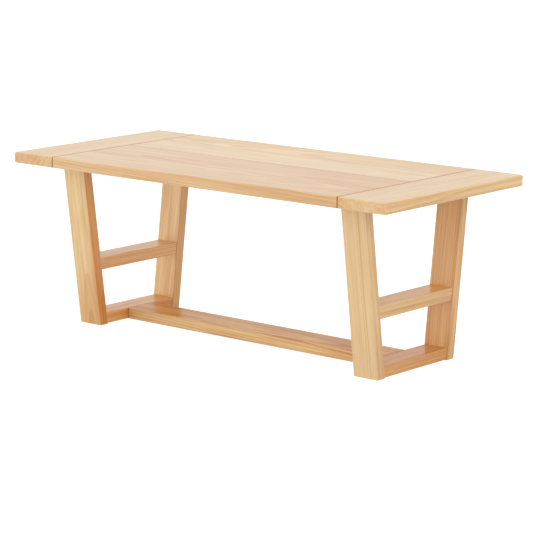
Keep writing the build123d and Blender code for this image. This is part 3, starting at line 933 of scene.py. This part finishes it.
def shape_plate(builder, low, high):
    """Rounded bearing plate, slotted from below so that it drops over a bolt, with its edges broken."""
    half_thick, half_wide, half_tall = (high - low) / 2
    y, z = half_wide - PLATE_ROUND, half_tall - PLATE_ROUND
    outline = [
        *arc((y, z), PLATE_ROUND, 0, 90, PLATE_STEPS),
        *arc((-y, z), PLATE_ROUND, 90, 180, PLATE_STEPS),
        *arc((-y, -z), PLATE_ROUND, 180, 270, PLATE_STEPS),
        (-PLATE_SLOT, -half_tall),
        *arc((0, 0), PLATE_SLOT, 180, 0, 2 * PLATE_STEPS),
        (PLATE_SLOT, -half_tall),
        *arc((y, -z), PLATE_ROUND, 270, 360, PLATE_STEPS),
    ]
    centre = (low + high) / 2
    walls = [
        [builder.verts.new(centre + Vector((x, y, z))) for y, z in outline]
        for x in (-half_thick, half_thick)
    ]
    faces = [builder.faces.new(walls[0]), builder.faces.new(list(reversed(walls[1])))]
    count = len(outline)
    for step in range(count):
        after = (step + 1) % count
        builder.faces.new((walls[0][after], walls[0][step], walls[1][step], walls[1][after]))
    rims = {edge for face in faces for edge in face.edges}
    bmesh.ops.bevel(builder, geom=list(rims), offset=PLATE_EDGE, segments=2, affect="EDGES", profile=0.5)


def shape_screw(builder, low, high):
    """Pan head with a six-sided socket, plain neck, coarse wood thread and a point."""
    pitch = bpy.context.scene.table_fittings.screw_pitch
    centre = (low + high) / 2
    seat = Vector((centre.x, centre.y, low.z + SCREW_HEAD))
    length = high.z - seat.z
    corner = (SCREW_HEAD_RADIUS - SCREW_HEAD_ROUND, SCREW_HEAD - SCREW_HEAD_ROUND)
    rings = [
        hexagon(SCREW_SOCKET_FLATS, SCREW_HEAD - SCREW_SOCKET_DEPTH),
        hexagon(SCREW_SOCKET_FLATS, SCREW_HEAD - SCREW_SOCKET_EDGE),
        ring(SCREW_SOCKET_LIP, SCREW_HEAD),
        *rounded(corner, SCREW_HEAD_ROUND, 90, 0),
        ring(SCREW_HEAD_RADIUS, SCREW_HEAD_EDGE),
        ring(SCREW_HEAD_RADIUS - SCREW_HEAD_EDGE, 0),
        ring(SCREW_RADIUS, 0),
        *thread(-SCREW_PLAIN, SCREW_POINT - length, SCREW_RADIUS, SCREW_CORE, pitch, SCREW_CREST),
        *[ring(radius, height - length) for radius, height in SCREW_POINT_RINGS],
    ]
    skin(builder, rings, upright(seat, -Z))


def shape_washer(builder, low, high):
    """Flat washer with the burr taken off its rims."""
    half = (high.z - low.z) / 2
    rim = (high.x - low.x) / 2
    edge = WASHER_EDGE
    rings = [
        ring(WASHER_BORE, half - edge), ring(WASHER_BORE + edge, half),
        ring(rim - edge, half), ring(rim, half - edge),
        ring(rim, edge - half), ring(rim - edge, -half),
        ring(WASHER_BORE + edge, -half), ring(WASHER_BORE, edge - half),
    ]
    skin(builder, rings, upright((low + high) / 2, Z), hollow=True)


def shape_glide(builder, low, high):
    """Moulded disc with a rounded sliding face, a gate mark in its middle and a pin."""
    centre = (low + high) / 2
    rim = (high.x - low.x) / 2
    thick = high.z - low.z - GLIDE_PIN
    rings = [
        ring(GATE_MARK_MIDDLE, GATE_MARK_DEPTH),
        ring(GATE_MARK, GATE_MARK_DEPTH),
        ring(GATE_MARK_LIP, 0),
        *rounded((rim - GLIDE_ROUND, GLIDE_ROUND), GLIDE_ROUND, -90, 0),
        ring(rim, thick - GLIDE_EDGE),
        ring(rim - GLIDE_EDGE, thick),
        ring(GLIDE_PIN_RADIUS + GLIDE_PIN_FOOT, thick),
        ring(GLIDE_PIN_RADIUS, thick + GLIDE_PIN_FOOT),
        ring(GLIDE_PIN_RADIUS, thick + GLIDE_PIN - GLIDE_PIN_TIP),
        ring(GLIDE_PIN_TIP_RADIUS, thick + GLIDE_PIN),
    ]
    skin(builder, rings, upright(Vector((centre.x, centre.y, low.z)), Z))


# ---------------------------------------------------------------- operators


class TABLE_OT_top_boards(bpy.types.Operator):
    """Dress the four long boards and the two breadboard ends"""

    bl_idname = "communion_table.top_boards"
    bl_label = "Top boards"

    def execute(self, context):
        dress_timbers(TOP_CUTS, 1)
        return {"FINISHED"}


class TABLE_OT_legs(bpy.types.Operator):
    """Dress the four splayed plank legs"""

    bl_idname = "communion_table.legs"
    bl_label = "Legs"

    def execute(self, context):
        dress_timbers(LEG_CUTS, 11)
        return {"FINISHED"}


class TABLE_OT_rails(bpy.types.Operator):
    """Dress the middle rails, the foot rails and the bearers under the top"""

    bl_idname = "communion_table.rails"
    bl_label = "Rails and bearers"

    def execute(self, context):
        dress_timbers(RAIL_CUTS, 21)
        return {"FINISHED"}


class TABLE_OT_stretcher(bpy.types.Operator):
    """Dress the flat stretcher that joins the two foot rails"""

    bl_idname = "communion_table.stretcher"
    bl_label = "Stretcher"

    def execute(self, context):
        dress_timbers(STRETCHER_CUTS, 31)
        return {"FINISHED"}


class TABLE_OT_dowels(bpy.types.Operator):
    """Dress the dowels and pegs that hold the joints"""

    bl_idname = "communion_table.dowels"
    bl_label = "Dowels and pegs"

    def execute(self, context):
        dress_timbers(DOWEL_CUTS, 41)
        return {"FINISHED"}


class TABLE_OT_bolts(bpy.types.Operator):
    """Build the bolts, nuts and slotted plates of the two stretcher joints"""

    bl_idname = "communion_table.bolts"
    bl_label = "Bolts, nuts and plates"

    def execute(self, context):
        zinc = zinc_finish("zinc_bolts")
        build_piece("stretcher_bolts", "bolts", zinc, shape_bolt)
        build_piece("stretcher_bolt_nuts", "nuts", zinc, shape_nut)
        build_piece("stretcher_bolt_plates", "bearing_plates", zinc, shape_plate)
        return {"FINISHED"}


class TABLE_OT_top_fixings(bpy.types.Operator):
    """Build the screws and washers that hold the top to the bearers"""

    bl_idname = "communion_table.top_fixings"
    bl_label = "Screws and washers"

    def execute(self, context):
        zinc = zinc_finish("zinc_screws")
        build_piece("top_fixing_screws", "screws", zinc, shape_screw)
        build_piece("top_fixing_washers", "washers", zinc, shape_washer)
        return {"FINISHED"}


class TABLE_OT_glides(bpy.types.Operator):
    """Build the nylon glides under the feet"""

    bl_idname = "communion_table.glides"
    bl_label = "Glides"

    def execute(self, context):
        build_piece("foot_glides", "glides", nylon_finish(), shape_glide)
        return {"FINISHED"}


class TABLE_OT_stage(bpy.types.Operator):
    """Lay the studio floor, light it and place the camera"""

    bl_idname = "communion_table.stage"
    bl_label = "Studio"

    def execute(self, context):
        look = context.scene.table_studio
        lay_floor(look)
        hang_lights(look)
        place_camera(look)
        return {"FINISHED"}


FLOOR_REACH = 90
FLOOR_DROP = 0.0005             # the floor lies this far under the feet
BELOW_GLOW = 0.5                # the sky's light from below, what it has more of from above, and
ABOVE_GLOW = 0.55               # what it has more of in a belt along the horizon
HORIZON_GLOW = 1.1
FRONT_LIGHT = (-67, -8)         # where each light lies, in degrees, as direction() takes them
RIGHT_LIGHT = (90, 30)
LOOK_AT = Vector((0.0257, 0.006, -0.0591))      # from the table's middle to what the camera looks at


def lay_floor(look):
    builder = bmesh.new()
    bmesh.ops.create_grid(builder, x_segments=8, y_segments=8, size=FLOOR_REACH)
    bmesh.ops.translate(builder, verts=builder.verts, vec=(0, 0, CAD_BOX[0][2] - FLOOR_DROP))
    mesh = bpy.data.meshes.new("studio_floor")
    builder.to_mesh(mesh)
    builder.free()
    floor = bpy.data.objects.new("studio_floor", mesh)
    bpy.context.scene.collection.objects.link(floor)
    paint = Finish("studio_floor")
    speckle = paint.cloud(paint.add("TexCoord")["Object"], scale=3.0)
    colour = paint.mix(speckle, look.floor, tuple(c * 0.98 for c in look.floor))
    paint.set(
        base_color=colour, roughness=0.9, specular_ior_level=0.0,
        emission_color=(1, 1, 1), emission_strength=look.glow,
    )
    mesh.materials.append(paint.material)
    floor.visible_diffuse = False
    floor.visible_shadow = False


def hang_lights(look):
    """An even white sky, brighter along the horizon, with two large soft lights in it."""
    scene = bpy.context.scene
    scene.world = bpy.data.worlds.new("studio_sky")
    sky = Nodes(scene.world)
    towards = sky.add("TexCoord")["Generated"]
    height = towards.dot(Z)
    above = height.step(-0.03, 0.02)
    horizon = above * (1 - height.step(0.1, 0.22))
    front_left = towards.dot(direction(*FRONT_LIGHT)).step(0.72, 0.96)
    right = towards.dot(direction(*RIGHT_LIGHT)).step(0.92, 0.99)
    even = BELOW_GLOW + above * ABOVE_GLOW + horizon * HORIZON_GLOW
    strength = look.sky * (even + front_left * look.front_light + right * look.right_light)
    backing = sky.add("Background", {}, {"Strength": strength})["Background"]
    output = sky.tree.nodes.new("ShaderNodeOutputWorld")
    sky.tree.links.new(backing.socket, output.inputs["Surface"])
    scene.view_settings.view_transform = "Standard"


def direction(azimuth, elevation):
    """Towards a light, turned from the table's front to its right, and up, in degrees."""
    turn, rise = radians(azimuth), radians(elevation)
    return (sin(turn) * cos(rise), -cos(turn) * cos(rise), sin(rise))


def place_camera(look):
    low, high = Vector(CAD_BOX[0]), Vector(CAD_BOX[1])
    target = (low + high) / 2 + LOOK_AT
    level = look.distance * cos(look.elevation)
    eye = target + Vector((
        level * sin(look.azimuth), -level * cos(look.azimuth), look.distance * sin(look.elevation),
    ))
    lens = bpy.data.cameras.new("camera")
    lens.lens = look.lens
    lens.sensor_width = 36
    lens.clip_end = 60
    camera = bpy.data.objects.new("camera", lens)
    camera.location = eye
    camera.rotation_euler = (pi / 2 - look.elevation, 0, look.azimuth)
    bpy.context.scene.collection.objects.link(camera)
    bpy.context.scene.camera = camera


class TABLE_PT_panel(bpy.types.Panel):
    """Lists the table's pieces and their settings"""

    bl_label = "Communion table"
    bl_idname = "TABLE_PT_panel"
    bl_space_type = "VIEW_3D"
    bl_region_type = "UI"
    bl_category = "Communion table"

    def draw(self, context):
        for operator in OPERATORS:
            self.layout.operator(operator.bl_idname)
        scene = context.scene
        for settings in (scene.table_timber, scene.table_fittings, scene.table_studio):
            box = self.layout.box()
            for name in settings.__annotations__:
                box.prop(settings, name)


OPERATORS = (
    TABLE_OT_top_boards, TABLE_OT_legs, TABLE_OT_rails, TABLE_OT_stretcher,
    TABLE_OT_dowels, TABLE_OT_bolts, TABLE_OT_top_fixings, TABLE_OT_glides, TABLE_OT_stage,
)
CLASSES = (TimberSettings, FittingSettings, StudioSettings, *OPERATORS, TABLE_PT_panel)


def register():
    for item in CLASSES:
        bpy.utils.register_class(item)
    bpy.types.Scene.table_timber = PointerProperty(type=TimberSettings)
    bpy.types.Scene.table_fittings = PointerProperty(type=FittingSettings)
    bpy.types.Scene.table_studio = PointerProperty(type=StudioSettings)


def unregister():
    del bpy.types.Scene.table_studio
    del bpy.types.Scene.table_fittings
    del bpy.types.Scene.table_timber
    for item in reversed(CLASSES):
        bpy.utils.unregister_class(item)


def main():
    register()
    table = bpy.ops.communion_table
    table.top_boards()
    table.legs()
    table.rails()
    table.stretcher()
    table.dowels()
    table.bolts()
    table.top_fixings()
    table.glides()
    table.stage()


if __name__ == "__main__":
    main()
